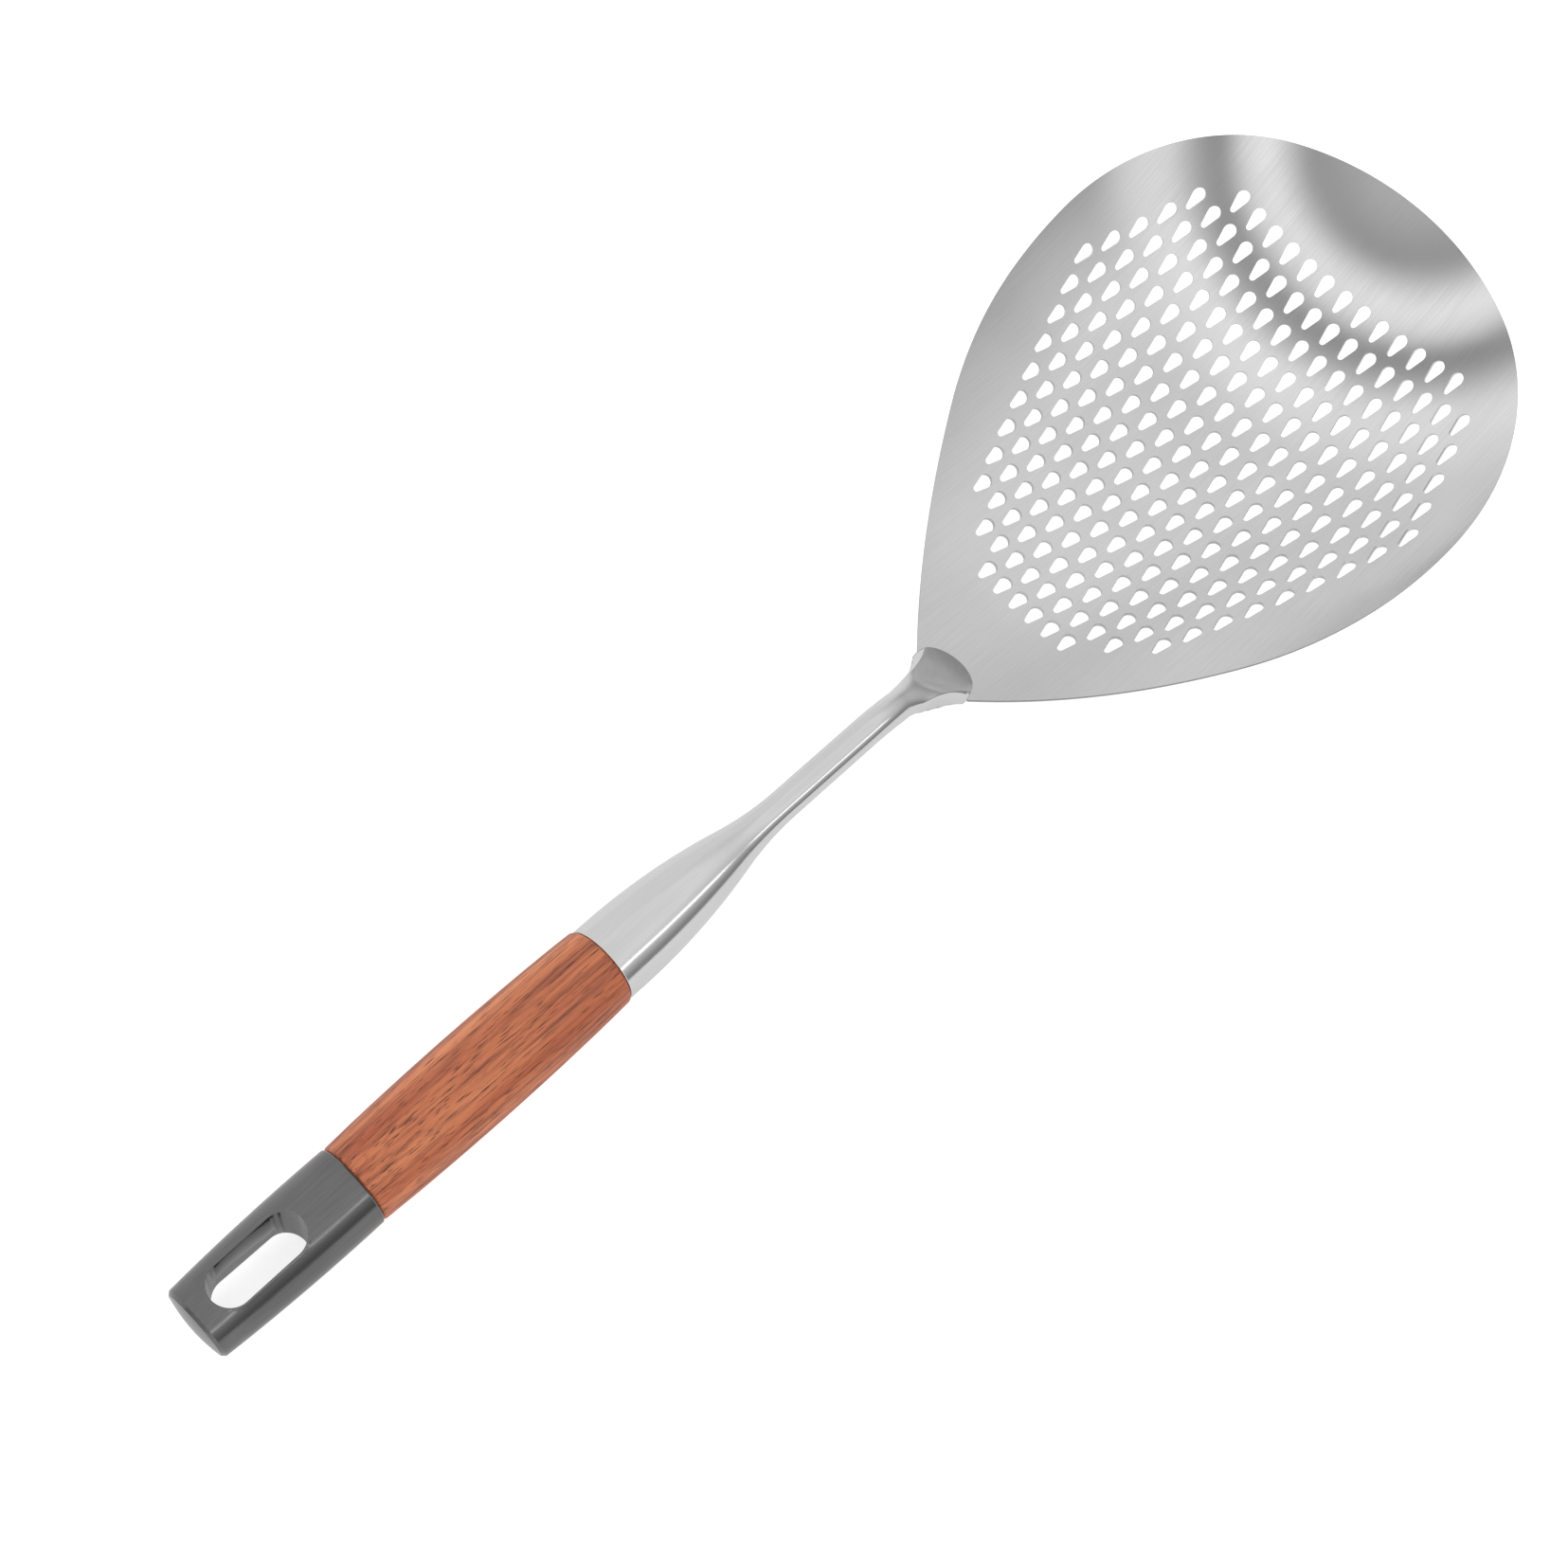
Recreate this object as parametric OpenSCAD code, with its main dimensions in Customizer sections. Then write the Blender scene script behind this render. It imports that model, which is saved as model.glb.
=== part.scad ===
// Perforated steel scoop: dished bowl, swaged steel neck, wooden grip and slotted steel tail.
// Units are mm. +Z is up, the bowl opens upward and its tip points along +Y.
// The scoop lies as it would on a table: on the bowl's underside and on the tail.
// The origin is on the table, in the middle of the scoop's length and width.

/* [Bowl] */
// Width of the bowl at its widest place
bowl_w = 151; // [140:0.5:160]
// Distance from the lowest point of the dish forward to the tip
tip_y = 95.6; // [92:0.2:99]
// Distance from the lowest point of the dish back to the cut rear edge
rear_y = 101; // [100:0.5:103]
// Where the bowl is widest, forward of the lowest point
wide_y = 26.4; // [24:0.2:29]
// Thickness of the steel sheet
sheet = 1.2; // [0.8:0.1:1.6]
// Radius of the dish across its width
cross_r = 109.4; // [105:0.2:120]
// Radius of the dish along its front half
front_r = 116.4; // [112:0.2:125]
// Radius of the dish along its rear half
rear_r = 395.4; // [350:1:450]
// Radius of the outline at the tip
tip_arc = 85.3; // [83:0.1:90]
// Radius of the outline from the widest place back
belly_arc = 121; // [115:1:130]
// How far the belly arc turns before the flank begins, in degrees
belly_turn = 31.6; // [30:0.2:33]
// Radius of the long, nearly straight flank
flank_arc = 450; // [400:10:600]

/* [Holes] */
// Distance between neighbouring holes in a row, at the lowest point of the dish
hole_pitch = 7; // [6.5:0.1:7.2]
// Distance between rows, measured along the sheet
row_pitch = 9.44; // [9:0.02:9.6]
// Distance along the sheet from the lowest point to the row nearest the tip
first_row = 77.6; // [76:0.2:78]
// Radius of a hole's wide end, which points at the tip
hole_big = 2.03; // [1.6:0.05:2.2]
// Radius of a hole's narrow end
hole_small = 0.95; // [0.5:0.05:1.2]
// Distance between the centres of the two ends
hole_len = 4.48; // [4:0.02:5.4]

/* [Neck] */
// Diameter of the slender part of the tube
neck_d = 8.7; // [8:0.1:10]
// Wall of the tube
wall = 1; // [0.8:0.1:1.2]
// Radius of the bend down to the bowl
bend_r = 40; // [30:1:60]
// Radius of the end that lies on the bowl
flare_r = 9.8; // [9:0.1:10.5]
// Outer diameter of the ferrule where it meets the wood
ferrule_d = 22.2; // [21:0.1:23]

/* [Handle] */
// Length of the wooden grip between its two steel parts
wood_len = 82; // [70:1:100]
// Largest diameter of the grip
wood_d = 24.6; // [23.5:0.1:26]
// Length of the steel tail
cap_len = 49; // [46:1:60]
// Largest diameter of the tail
cap_d = 22.8; // [22:0.1:24]
// Clear width of the hanging slot
slot_w = 11.4; // [9:0.2:12]
// Clear length of the hanging slot
slot_len = 27; // [20:1:30]
// Diameter of the threaded rod through the grip
rod_d = 6; // [5:0.5:8]

/* [Show] */
// Sub-part to build, or all of them

/* [Hidden] */
$fn = 96;

// Holes in each row, from the tip back to the neck.
row_counts = [13, 16, 17, 18, 19, 20, 19, 18, 17, 16, 15, 14, 13, 12, 9, 6];
// Pressing stretches the pattern: the pitch changes along the dish and the rows bow.
// Each pair is the value at the lowest point and its change over 70 mm forward.
stretch = [0.072, -0.048];
bow = [3.12, 4.19];
reach = 70;

half_w = bowl_w / 2;
// The outline is a chain of arcs that meet without a corner.
tip_cy = tip_y - tip_arc;
side_cx = (pow(wide_y - tip_cy, 2) - pow(tip_arc - half_w, 2)) / (2 * (tip_arc - half_w));
side_arc = half_w - side_cx;
tip_turn = atan2(wide_y - tip_cy, side_cx);
belly_cx = half_w - belly_arc;
flank_top = [belly_cx + belly_arc * cos(belly_turn), wide_y - belly_arc * sin(belly_turn)];
flank_c = flank_top - flank_arc * [cos(belly_turn), -sin(belly_turn)];

// The handle's line: the joint of ferrule and wood, as [y, z] from the lowest point of the
// dish, and how steeply the handle rises toward the tail.
joint = [-233.5, 35.5];
rise = 3.7;
neck_r = neck_d / 2;
neck_end = 97.7;
drop = 23;
end_len = 31;
flare_start = 10;
flare_arc = 14;
flare_cy = -103.3;
// Where two stretches of the tube meet, one laps over the other and is a hair wider.
lap = 0.3;
lap_step = 0.05;

ferrule_r = ferrule_d / 2;
ferrule_straight = 5;
shoulder_arc = 195;
waist_arc = 95;
shoulder_turn = acos(1 - (ferrule_r - neck_r) / (shoulder_arc + waist_arc));
shoulder_len = (shoulder_arc + waist_arc) * sin(shoulder_turn);

spigot_len = 12;
disc_t = 2;
nut_t = 5;
nut_af = 10;
wood_arc = 900;
wood_mid = 38;
cap_arc = 600;
cap_mid = wood_len + 8;
cap_end = wood_len + cap_len;
cap_wall = 1.2;
boss_t = 10;
sleeve_wall = 0.8;
slot_back = cap_end - 6.5;
slot_mid = slot_back - slot_len / 2;
edge_round = 1.2;
dome_r = 46;

function radius_at(z, largest, arc, mid) = largest / 2 - arc + sqrt(pow(arc, 2) - pow(z - mid, 2));

// The scoop tips back about the bowl until the tail touches the table just behind its slot.
touch_z = slot_back + sleeve_wall;
touch_r = radius_at(touch_z, cap_d, cap_arc, cap_mid);
touch = joint + touch_z * [-cos(rise), sin(rise)] - touch_r * [sin(rise), cos(rise)];
to_axis = [-touch[0], rear_r - touch[1]];
lean = asin((rear_r + sheet) / norm(to_axis)) - atan2(to_axis[1], to_axis[0]);
lift = rear_r + sheet - rear_r * cos(lean);

// Distances from the dish's lowest point to the two ends, once it has tipped back.
function leaned_y(p) = p[0] * cos(lean) - p[1] * sin(lean);
tip_top = [tip_y, front_r - sqrt(pow(front_r, 2) - pow(tip_y, 2))];
tip_low = [tip_y, front_r - sqrt(pow(front_r + sheet, 2) - pow(tip_y, 2))];
tail_tip = joint + cap_end * [-cos(rise), sin(rise)];
shift = -(max(leaned_y(tip_top), leaned_y(tip_low)) + leaned_y(tail_tip)) / 2;

steel = [0.78, 0.79, 0.80];
dark_steel = [0.55, 0.56, 0.58];
rosewood = [0.62, 0.30, 0.16];

// ---- frames ----

module resting() {
    translate([0, shift, lift])
        rotate([lean, 0, 0])
            children();
}

// Origin at the joint of ferrule and wood, +Z toward the tail, +Y up through the hanging slot.
module on_handle() {
    translate([0, joint[0], joint[1]])
        rotate([90 - rise, 0, 0])
            children();
}

// Origin at the end of the bend, +Z down toward the bowl.
module on_neck_end() {
    on_handle()
        translate([0, -bend_r, -neck_end])
            rotate([rise - drop, 0, 0])
                translate([0, bend_r, 0])
                    rotate([180, 0, 0])
                        children();
}

// ---- bowl ----

// One half of the dished layer between two depths below its upper surface.
module dish_half(along_r, near, far, sweep) {
    translate([0, 0, along_r])
        rotate([0, 90, 0])
            rotate_extrude(angle = sweep, $fn = 180)
                intersection() {
                    translate([along_r - cross_r, 0])
                        difference() {
                            circle(cross_r + far);
                            circle(cross_r + near);
                        }
                    translate([along_r - cross_r, -half_w - 4])
                        square([cross_r + far, bowl_w + 8]);
                }
}

module dish(near, far) {
    dish_half(front_r, near, far, 72);
    mirror([0, 1, 0])
        dish_half(rear_r, near, far, 19);
}

// The overlap of a circle and its mirror image: the outline's two sides over one stretch.
module lens(centre, r) {
    intersection() {
        translate(centre)
            circle(r, $fn = 240);
        translate([-centre[0], centre[1]])
            circle(r, $fn = 240);
    }
}

module strip(y0, y1, half) {
    translate([-half, y0])
        square([2 * half, y1 - y0]);
}

// Upright block with the bowl's outline in plan.
module outline_block() {
    h = 70;
    translate([0, 0, -5]) {
        for (side = [-1, 1])
            translate([side * side_cx, wide_y])
                cylinder(r = side_arc, h = h, $fn = 180);
        linear_extrude(h)
            intersection() {
                translate([0, tip_cy])
                    circle(tip_arc, $fn = 240);
                strip(wide_y, tip_y + 1, tip_arc * cos(tip_turn));
            }
        linear_extrude(h)
            intersection() {
                lens([belly_cx, wide_y], belly_arc);
                strip(flank_top[1], wide_y, half_w + 1);
            }
        linear_extrude(h)
            intersection() {
                lens(flank_c, flank_arc);
                strip(-rear_y, flank_top[1], half_w);
            }
    }
}

// Wide end toward +Y; the straight sides touch both circles.
module teardrop() {
    tilt = asin((hole_big - hole_small) / hole_len);
    small_y = -0.64 * hole_len;
    big_y = small_y + hole_len;
    side = [cos(tilt), -sin(tilt)];
    big_pt = [0, big_y] + hole_big * side;
    small_pt = [0, small_y] + hole_small * side;
    translate([0, big_y])
        circle(hole_big, $fn = 32);
    translate([0, small_y])
        circle(hole_small, $fn = 24);
    polygon([big_pt, small_pt, [-small_pt[0], small_pt[1]], [-big_pt[0], big_pt[1]]]);
}

// Punches one hole square to the sheet, above the plan position x, y.
module punch(x, y) {
    along_r = y > 0 ? front_r : rear_r;
    depth = cross_r - sqrt(pow(cross_r, 2) - pow(x, 2));
    translate([0, 0, along_r])
        rotate([asin(y / (along_r - depth)), 0, 0])
            translate([0, 0, cross_r - along_r])
                rotate([0, -asin(x / cross_r), 0])
                    translate([0, 0, -cross_r - sheet - 1])
                        linear_extrude(sheet + 2)
                            teardrop();
}

module hole_rows() {
    for (row = [0 : len(row_counts) - 1]) {
        along = first_row - row * row_pitch;
        v = along / reach;
        along_r = along > 0 ? front_r : rear_r;
        y = along_r * sin(along / along_r * 180 / PI);
        pitch = hole_pitch * (1 + stretch[0] * v + stretch[1] * v * v);
        for (i = [0 : row_counts[row] - 1]) {
            across = (i - (row_counts[row] - 1) / 2) * pitch;
            x = cross_r * sin(across / cross_r * 180 / PI);
            punch(x, y - (bow[0] + bow[1] * v) * pow(x / reach, 2));
        }
    }
}

module bowl() {
    color(steel)
        resting()
            difference() {
                intersection() {
                    dish(0, sheet);
                    outline_block();
                }
                hole_rows();
            }
}

// ---- neck ----

// Half section of ferrule and neck, shrunk inward by skin. Ferrule mouth at y = 0.
module neck_section(skin) {
    mouth = ferrule_r - skin;
    turn_y = -ferrule_straight - shoulder_arc * sin(shoulder_turn);
    turn_r = ferrule_r - shoulder_arc * (1 - cos(shoulder_turn)) - skin / cos(shoulder_turn);
    waist_y = -ferrule_straight - shoulder_len;
    translate([0, -ferrule_straight])
        square([mouth, ferrule_straight + skin]);
    intersection() {
        translate([ferrule_r - shoulder_arc, -ferrule_straight])
            circle(shoulder_arc - skin, $fn = 360);
        translate([0, turn_y])
            square([mouth, -turn_y - ferrule_straight]);
    }
    difference() {
        translate([0, waist_y])
            square([turn_r - lap_step, turn_y - waist_y]);
        translate([neck_r + waist_arc, waist_y])
            circle(waist_arc + skin, $fn = 360);
    }
    translate([0, -neck_end])
        square([neck_r - skin, neck_end + waist_y]);
}

module bend(skin) {
    on_handle()
        translate([0, -bend_r, -neck_end])
            rotate([0, -90, 0])
                rotate([0, 0, 90])
                    rotate_extrude(angle = drop - rise)
                        translate([bend_r, 0])
                            circle(neck_r - skin);
}

// Tube end: round at first, then opening like a trumpet. It laps over the bend a little.
module trumpet() {
    end_r = neck_r + lap_step;
    on_neck_end()
        rotate_extrude()
            difference() {
                translate([0, -lap])
                    square([end_r + 9, end_len + lap]);
                translate([end_r, -lap - 1])
                    square([20, flare_start + lap + 1]);
                translate([end_r + flare_arc, flare_start])
                    circle(flare_arc);
            }
}

// What the press leaves of the trumpet: round in plan and sloping down onto the bowl.
module flare_zone() {
    intersection() {
        translate([0, 0, 5]) {
            translate([0, flare_cy])
                cylinder(r = flare_r, h = 30);
            linear_extrude(30)
                strip(-135, flare_cy, flare_r);
        }
        rotate([90, 0, 90])
            translate([0, 0, -15])
                linear_extrude(30)
                    polygon([[-134, 6], [-92, 6], [-92, 11.3], [-108, 25.4], [-134, 36]]);
    }
}

module flare() {
    difference() {
        intersection() {
            trumpet();
            flare_zone();
        }
        dish(0, 12);
    }
}

module neck_tube() {
    color(steel)
        resting()
            difference() {
                union() {
                    on_handle()
                        rotate_extrude()
                            neck_section(0);
                    bend(0);
                    flare();
                }
                on_handle()
                    rotate_extrude()
                        neck_section(wall);
                bend(wall);
                on_neck_end()
                    translate([0, 0, -lap])
                        cylinder(r = neck_r - wall + lap_step, h = flare_start + lap);
            }
}

// Bead in the corner between the bowl's cut rear edge and the underside of the flare.
module neck_weld() {
    bead_r = 1.1;
    bead_l = 16;
    bead_y = -rear_y - bead_r;
    bead_z = rear_r - sqrt(pow(rear_r, 2) - pow(bead_y, 2)) - bead_r;
    color(dark_steel)
        resting()
            translate([0, bead_y, bead_z])
                rotate([0, 90, 0]) {
                    cylinder(r = bead_r, h = bead_l, center = true);
                    for (end = [-1, 1])
                        translate([0, 0, end * bead_l / 2])
                            sphere(bead_r, $fn = 32);
                }
}

// ---- handle ----

module ferrule_disc() {
    color(dark_steel)
        resting()
            on_handle()
                translate([0, 0, -spigot_len - disc_t])
                    difference() {
                        cylinder(r = ferrule_r - wall - 0.4, h = disc_t);
                        translate([0, 0, -1])
                            cylinder(d = rod_d, h = disc_t + 2);
                    }
}

module anchor_nut() {
    color(dark_steel)
        resting()
            on_handle()
                translate([0, 0, -spigot_len - disc_t - nut_t])
                    difference() {
                        cylinder(d = nut_af / cos(30), h = nut_t, $fn = 6);
                        translate([0, 0, -1])
                            cylinder(d = rod_d, h = nut_t + 2);
                    }
}

module tie_rod() {
    start = -spigot_len - disc_t - nut_t - 2;
    color(dark_steel)
        resting()
            on_handle()
                translate([0, 0, start])
                    cylinder(d = rod_d, h = wood_len + boss_t - start);
}

// Half section between two heights of a barrel with rounded ends.
module barrel_section(z0, z1, largest, arc, mid) {
    intersection() {
        translate([largest / 2 - arc, mid])
            circle(arc, $fn = 720);
        translate([0, z0])
            square([largest, z1 - z0]);
    }
}

// Cuts the outer corner of a turned piece to a quarter round at height z.
module corner_round(r, z, way) {
    rotate_extrude()
        difference() {
            translate([r - edge_round, min(z, z - way * edge_round)])
                square([edge_round + 1, edge_round]);
            translate([r - edge_round, z - way * edge_round])
                circle(edge_round);
        }
}

module wood_grip() {
    color(rosewood)
        resting()
            on_handle()
                difference() {
                    union() {
                        rotate_extrude()
                            barrel_section(0, wood_len, wood_d, wood_arc, wood_mid);
                        translate([0, 0, -spigot_len])
                            cylinder(r = ferrule_r - wall, h = spigot_len + 1);
                    }
                    corner_round(radius_at(0, wood_d, wood_arc, wood_mid), 0, -1);
                    corner_round(radius_at(wood_len, wood_d, wood_arc, wood_mid), wood_len, 1);
                    translate([0, 0, -spigot_len - 1])
                        cylinder(d = rod_d + 0.4, h = wood_len + spigot_len + 2);
                }
}

// Solid form of the tail, shrunk inward by skin: barrel side and gently domed end.
module cap_form(skin) {
    intersection() {
        rotate_extrude()
            intersection() {
                translate([cap_d / 2 - cap_arc, cap_mid])
                    circle(cap_arc - skin, $fn = 720);
                translate([0, wood_len])
                    square([cap_d, cap_len]);
            }
        translate([0, 0, cap_end - dome_r])
            sphere(dome_r - skin, $fn = 180);
    }
}

module stadium(w, l) {
    translate([0, (l - w) / 2])
        circle(d = w);
    translate([0, -(l - w) / 2])
        circle(d = w);
    square([w, l - w], center = true);
}

// Upright prism through the tail, w wide and l long.
module slot_prism(w, l) {
    translate([0, 20, slot_mid])
        rotate([90, 0, 0])
            linear_extrude(40)
                stadium(w, l);
}

module cap_boss() {
    color(dark_steel)
        resting()
            on_handle()
                difference() {
                    translate([0, 0, wood_len])
                        cylinder(r = cap_d / 2 - cap_wall - 0.4, h = boss_t);
                    translate([0, 0, wood_len - 1])
                        cylinder(d = rod_d, h = boss_t + 2);
                }
}

module tail_cap() {
    color(steel)
        resting()
            on_handle()
                difference() {
                    cap_form(0);
                    cap_form(cap_wall);
                    slot_prism(slot_w + 2 * sleeve_wall, slot_len + 2 * sleeve_wall);
                }
}

module slot_sleeve() {
    color(steel)
        resting()
            on_handle()
                difference() {
                    intersection() {
                        cap_form(0);
                        slot_prism(slot_w + 2 * sleeve_wall, slot_len + 2 * sleeve_wall);
                    }
                    slot_prism(slot_w, slot_len);
                }
}

bowl();
neck_tube();
neck_weld();
ferrule_disc();
anchor_nut();
tie_rod();
wood_grip();
cap_boss();
tail_cap();
slot_sleeve();
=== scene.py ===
# %% [markdown]
# # A perforated steel scoop, modelled and lit in Blender
#
# The scoop is a dished sheet of satin steel with 242 teardrop holes, on a slender steel neck, with a
# turned hardwood grip and a steel tail that has a long slot to hang it up by. The exact CAD model
# comes in first and fixes every size. The lesson then makes a finer skin for each visible piece.

from math import acos, asin, atan2, cos, degrees, pi, radians, sin, sqrt

import bmesh
import bpy
from mathutils import Matrix, Vector


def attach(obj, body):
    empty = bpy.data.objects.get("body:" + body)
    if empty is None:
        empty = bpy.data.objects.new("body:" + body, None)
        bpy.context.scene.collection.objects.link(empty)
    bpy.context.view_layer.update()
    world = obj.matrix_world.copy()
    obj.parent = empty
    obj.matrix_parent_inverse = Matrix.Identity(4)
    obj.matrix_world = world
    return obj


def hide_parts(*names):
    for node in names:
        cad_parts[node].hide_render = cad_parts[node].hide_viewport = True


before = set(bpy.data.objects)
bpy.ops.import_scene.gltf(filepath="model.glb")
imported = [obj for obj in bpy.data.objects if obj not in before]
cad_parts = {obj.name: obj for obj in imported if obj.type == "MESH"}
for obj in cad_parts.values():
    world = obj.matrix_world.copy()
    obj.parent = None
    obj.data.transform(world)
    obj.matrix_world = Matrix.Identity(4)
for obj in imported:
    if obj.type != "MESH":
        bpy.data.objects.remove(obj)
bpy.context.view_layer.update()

# %% [markdown]
# ## Two working frames
#
# It is easiest to model each piece where its numbers are round. The bowl has its origin at the lowest
# point of the dish, with Y toward the tip. The handle has its origin where steel meets wood, with Z
# toward the tail. Both are in millimetres. A matrix then carries the finished mesh to where the scoop
# lies on the table, in metres, so every object can stay at the origin, unturned and unscaled.

# %% Matrices from the bowl and from the handle to the table
LEAN = radians(5.8)
SHIFT = 138.27
LIFT = 3.224
JOINT_Y = -233.5
JOINT_Z = 35.5
RISE = radians(3.7)

on_table = Matrix.Scale(0.001, 4) @ Matrix.Translation((0, SHIFT, LIFT)) @ Matrix.Rotation(LEAN, 4, "X")
handle_frame = Matrix.Translation((0, JOINT_Y, JOINT_Z)) @ Matrix.Rotation(pi / 2 - RISE, 4, "X")
handle_on_table = on_table @ handle_frame


# %% [markdown]
# ## Finishing a mesh the same way every time
#
# Each piece ends with the same chores: its bmesh becomes a mesh, its faces are shaded smooth except
# across real corners, it gets a material, it is told which body it rides on, and the CAD node that it
# stands for is hidden. One helper does them all.

# %% A helper that turns a bmesh into a finished piece
def finish(bm, name, material, node, place, corner=40):
    """Makes the bmesh a smooth object at its place; an edge over corner degrees stays sharp."""
    bmesh.ops.transform(bm, matrix=place, verts=bm.verts)
    bmesh.ops.recalc_face_normals(bm, faces=bm.faces)
    mesh = bpy.data.meshes.new(name)
    bm.to_mesh(mesh)
    bm.free()
    mesh.materials.append(material)
    mesh.shade_smooth()
    mesh.set_sharp_from_angle(angle=radians(corner))
    piece = bpy.data.objects.new(name, mesh)
    bpy.context.scene.collection.objects.link(piece)
    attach(piece, "root")
    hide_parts(node)
    print(name, "has", len(mesh.polygons), "faces")
    return piece


# %% [markdown]
# ## Satin steel
#
# Stainless steel that has been linished shows fine lines in one direction. They are too small to
# model, so a noise that is stretched along the lines does three things: it varies the roughness, it
# tints the metal very slightly, and it gives a shallow bump. A second, broad noise adds the cloudy
# differences that polishing by hand leaves behind. The stretch is in the Mapping node, so the same
# recipe serves the bowl, the neck and the tail with different directions and greys.
#
# The walls of the punched holes are torn metal and duller than the brushed face. They are also painted
# nearly black, as painted shade inside each hole. A thin line where the rounded rim meets the brushed
# face is duller too and is painted dark, as painted shade along the rim. The bowl's mesh will carry two
# named layers that mark these places, and the bowl's steel gets another colour and roughness there.

# %% The brushed steel recipe
def shader_of(name):
    """A new material, with its nodes and links at hand."""
    material = bpy.data.materials.new(name)
    material.use_nodes = True
    return material, material.node_tree.nodes, material.node_tree.links


def mapped_noise(nodes, links, scale, detail=4.0, turn=(0, 0, 0)):
    """A noise over the object's own metres, stretched along the axes with the smaller scales."""
    where = nodes.new("ShaderNodeTexCoord")
    mapping = nodes.new("ShaderNodeMapping")
    mapping.inputs["Scale"].default_value = scale
    mapping.inputs["Rotation"].default_value = turn
    noise = nodes.new("ShaderNodeTexNoise")
    noise.inputs["Scale"].default_value = 1
    noise.inputs["Detail"].default_value = detail
    links.new(where.outputs["Object"], mapping.inputs["Vector"])
    links.new(mapping.outputs["Vector"], noise.inputs["Vector"])
    return noise.outputs["Fac"]


def spread(nodes, links, value, low, high):
    """Stretches the middle of a noise, where nearly all of it lies, over the range low to high."""
    span = nodes.new("ShaderNodeMapRange")
    span.inputs["From Min"].default_value = 0.3
    span.inputs["From Max"].default_value = 0.7
    span.inputs["To Min"].default_value = low
    span.inputs["To Max"].default_value = high
    links.new(value, span.inputs["Value"])
    return span.outputs["Result"]


def calculated(nodes, links, operation, value, other):
    """The result of a Math node; other is a number or a second value to link."""
    result = nodes.new("ShaderNodeMath")
    result.operation = operation
    links.new(value, result.inputs[0])
    if isinstance(other, (int, float)):
        result.inputs[1].default_value = other
    else:
        links.new(other, result.inputs[1])
    return result.outputs[0]


def blended(nodes, links, share, first, second):
    """Goes from the first colour to the second; each is three numbers or a value to link."""
    mix = nodes.new("ShaderNodeMix")
    mix.data_type = "RGBA"
    links.new(share, mix.inputs["Factor"])
    for name, colour in (("A", first), ("B", second)):
        if isinstance(colour, tuple):
            mix.inputs[name].default_value = (*colour, 1)
        else:
            links.new(colour, mix.inputs[name])
    return mix.outputs["Result"]


CLOUDS = (35, 35, 35)
LINE_DEPTH = 0.0001


def brushed_steel(name, light, dark, smoothest, roughest, lines, bump=0.12):
    """Steel between two greys and two roughnesses, with fine lines across the largest scale."""
    material, nodes, links = shader_of(name)
    steel = nodes["Principled BSDF"]
    steel.inputs["Metallic"].default_value = 1
    fine = mapped_noise(nodes, links, lines)
    clouds = mapped_noise(nodes, links, CLOUDS, detail=2)
    both = calculated(nodes, links, "ADD", fine, clouds)
    average = calculated(nodes, links, "MULTIPLY", both, 0.5)
    tone = spread(nodes, links, average, 0, 1)
    links.new(blended(nodes, links, tone, dark, light), steel.inputs["Base Color"])
    links.new(spread(nodes, links, average, roughest, smoothest), steel.inputs["Roughness"])
    relief = nodes.new("ShaderNodeBump")
    relief.inputs["Strength"].default_value = bump
    relief.inputs["Distance"].default_value = LINE_DEPTH
    links.new(fine, relief.inputs["Height"])
    links.new(relief.outputs["Normal"], steel.inputs["Normal"])
    return material


def marked_edge(material, layer, tint, roughness):
    """Gives the metal another colour and roughness where the mesh has a value in the named layer."""
    nodes, links = material.node_tree.nodes, material.node_tree.links
    steel = nodes["Principled BSDF"]
    mark = nodes.new("ShaderNodeAttribute")
    mark.attribute_name = layer
    for socket, kind, value in (("Base Color", "RGBA", (*tint, 1)), ("Roughness", "FLOAT", roughness)):
        blend = nodes.new("ShaderNodeMix")
        blend.data_type = kind
        blend.inputs["B"].default_value = value
        links.new(mark.outputs["Fac"], blend.inputs["Factor"])
        links.new(steel.inputs[socket].links[0].from_socket, blend.inputs["A"])
        links.new(blend.outputs["Result"], steel.inputs[socket])


# %% The five metals
SHEET_LINES = (2400, 50, 50)
TUBE_LINES = (2400, 50, 2400)
bowl_steel = brushed_steel(
    "satin_bowl_steel", (0.71, 0.70, 0.70), (0.63, 0.63, 0.63), 0.14, 0.22, SHEET_LINES, 0.04
)
neck_steel = brushed_steel(
    "polished_neck_steel", (0.72, 0.72, 0.72), (0.67, 0.67, 0.67), 0.13, 0.18, TUBE_LINES, 0.04
)
# Painted shade: the tail's steel has a far darker grey than the bowl and the neck; the slot lining uses
# it too.
tail_steel = brushed_steel(
    "painted_shade_tail_steel", (0.20, 0.20, 0.20), (0.14, 0.14, 0.14), 0.16, 0.24, TUBE_LINES, 0.06
)
inner_steel = brushed_steel(
    "plain_inner_steel", (0.50, 0.50, 0.52), (0.40, 0.40, 0.42), 0.30, 0.45, (400, 400, 400)
)
weld_metal = brushed_steel(
    "weld_metal", (0.34, 0.32, 0.30), (0.20, 0.19, 0.19), 0.35, 0.55, (900, 900, 900), 0.5
)
# Painted shade: the punched hole walls are coloured nearly black; their higher roughness is the real
# torn metal.
marked_edge(bowl_steel, "shaded_punched_wall", (0.07, 0.07, 0.07), 0.5)
# Painted shade: a thin dark line on the rim's rounding, just below the brushed face.
marked_edge(bowl_steel, "rim_shade_line", (0.12, 0.12, 0.12), 0.4)
metals = (bowl_steel, neck_steel, tail_steel, inner_steel, weld_metal)
print("metals:", ", ".join(metal.name for metal in metals))

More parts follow.
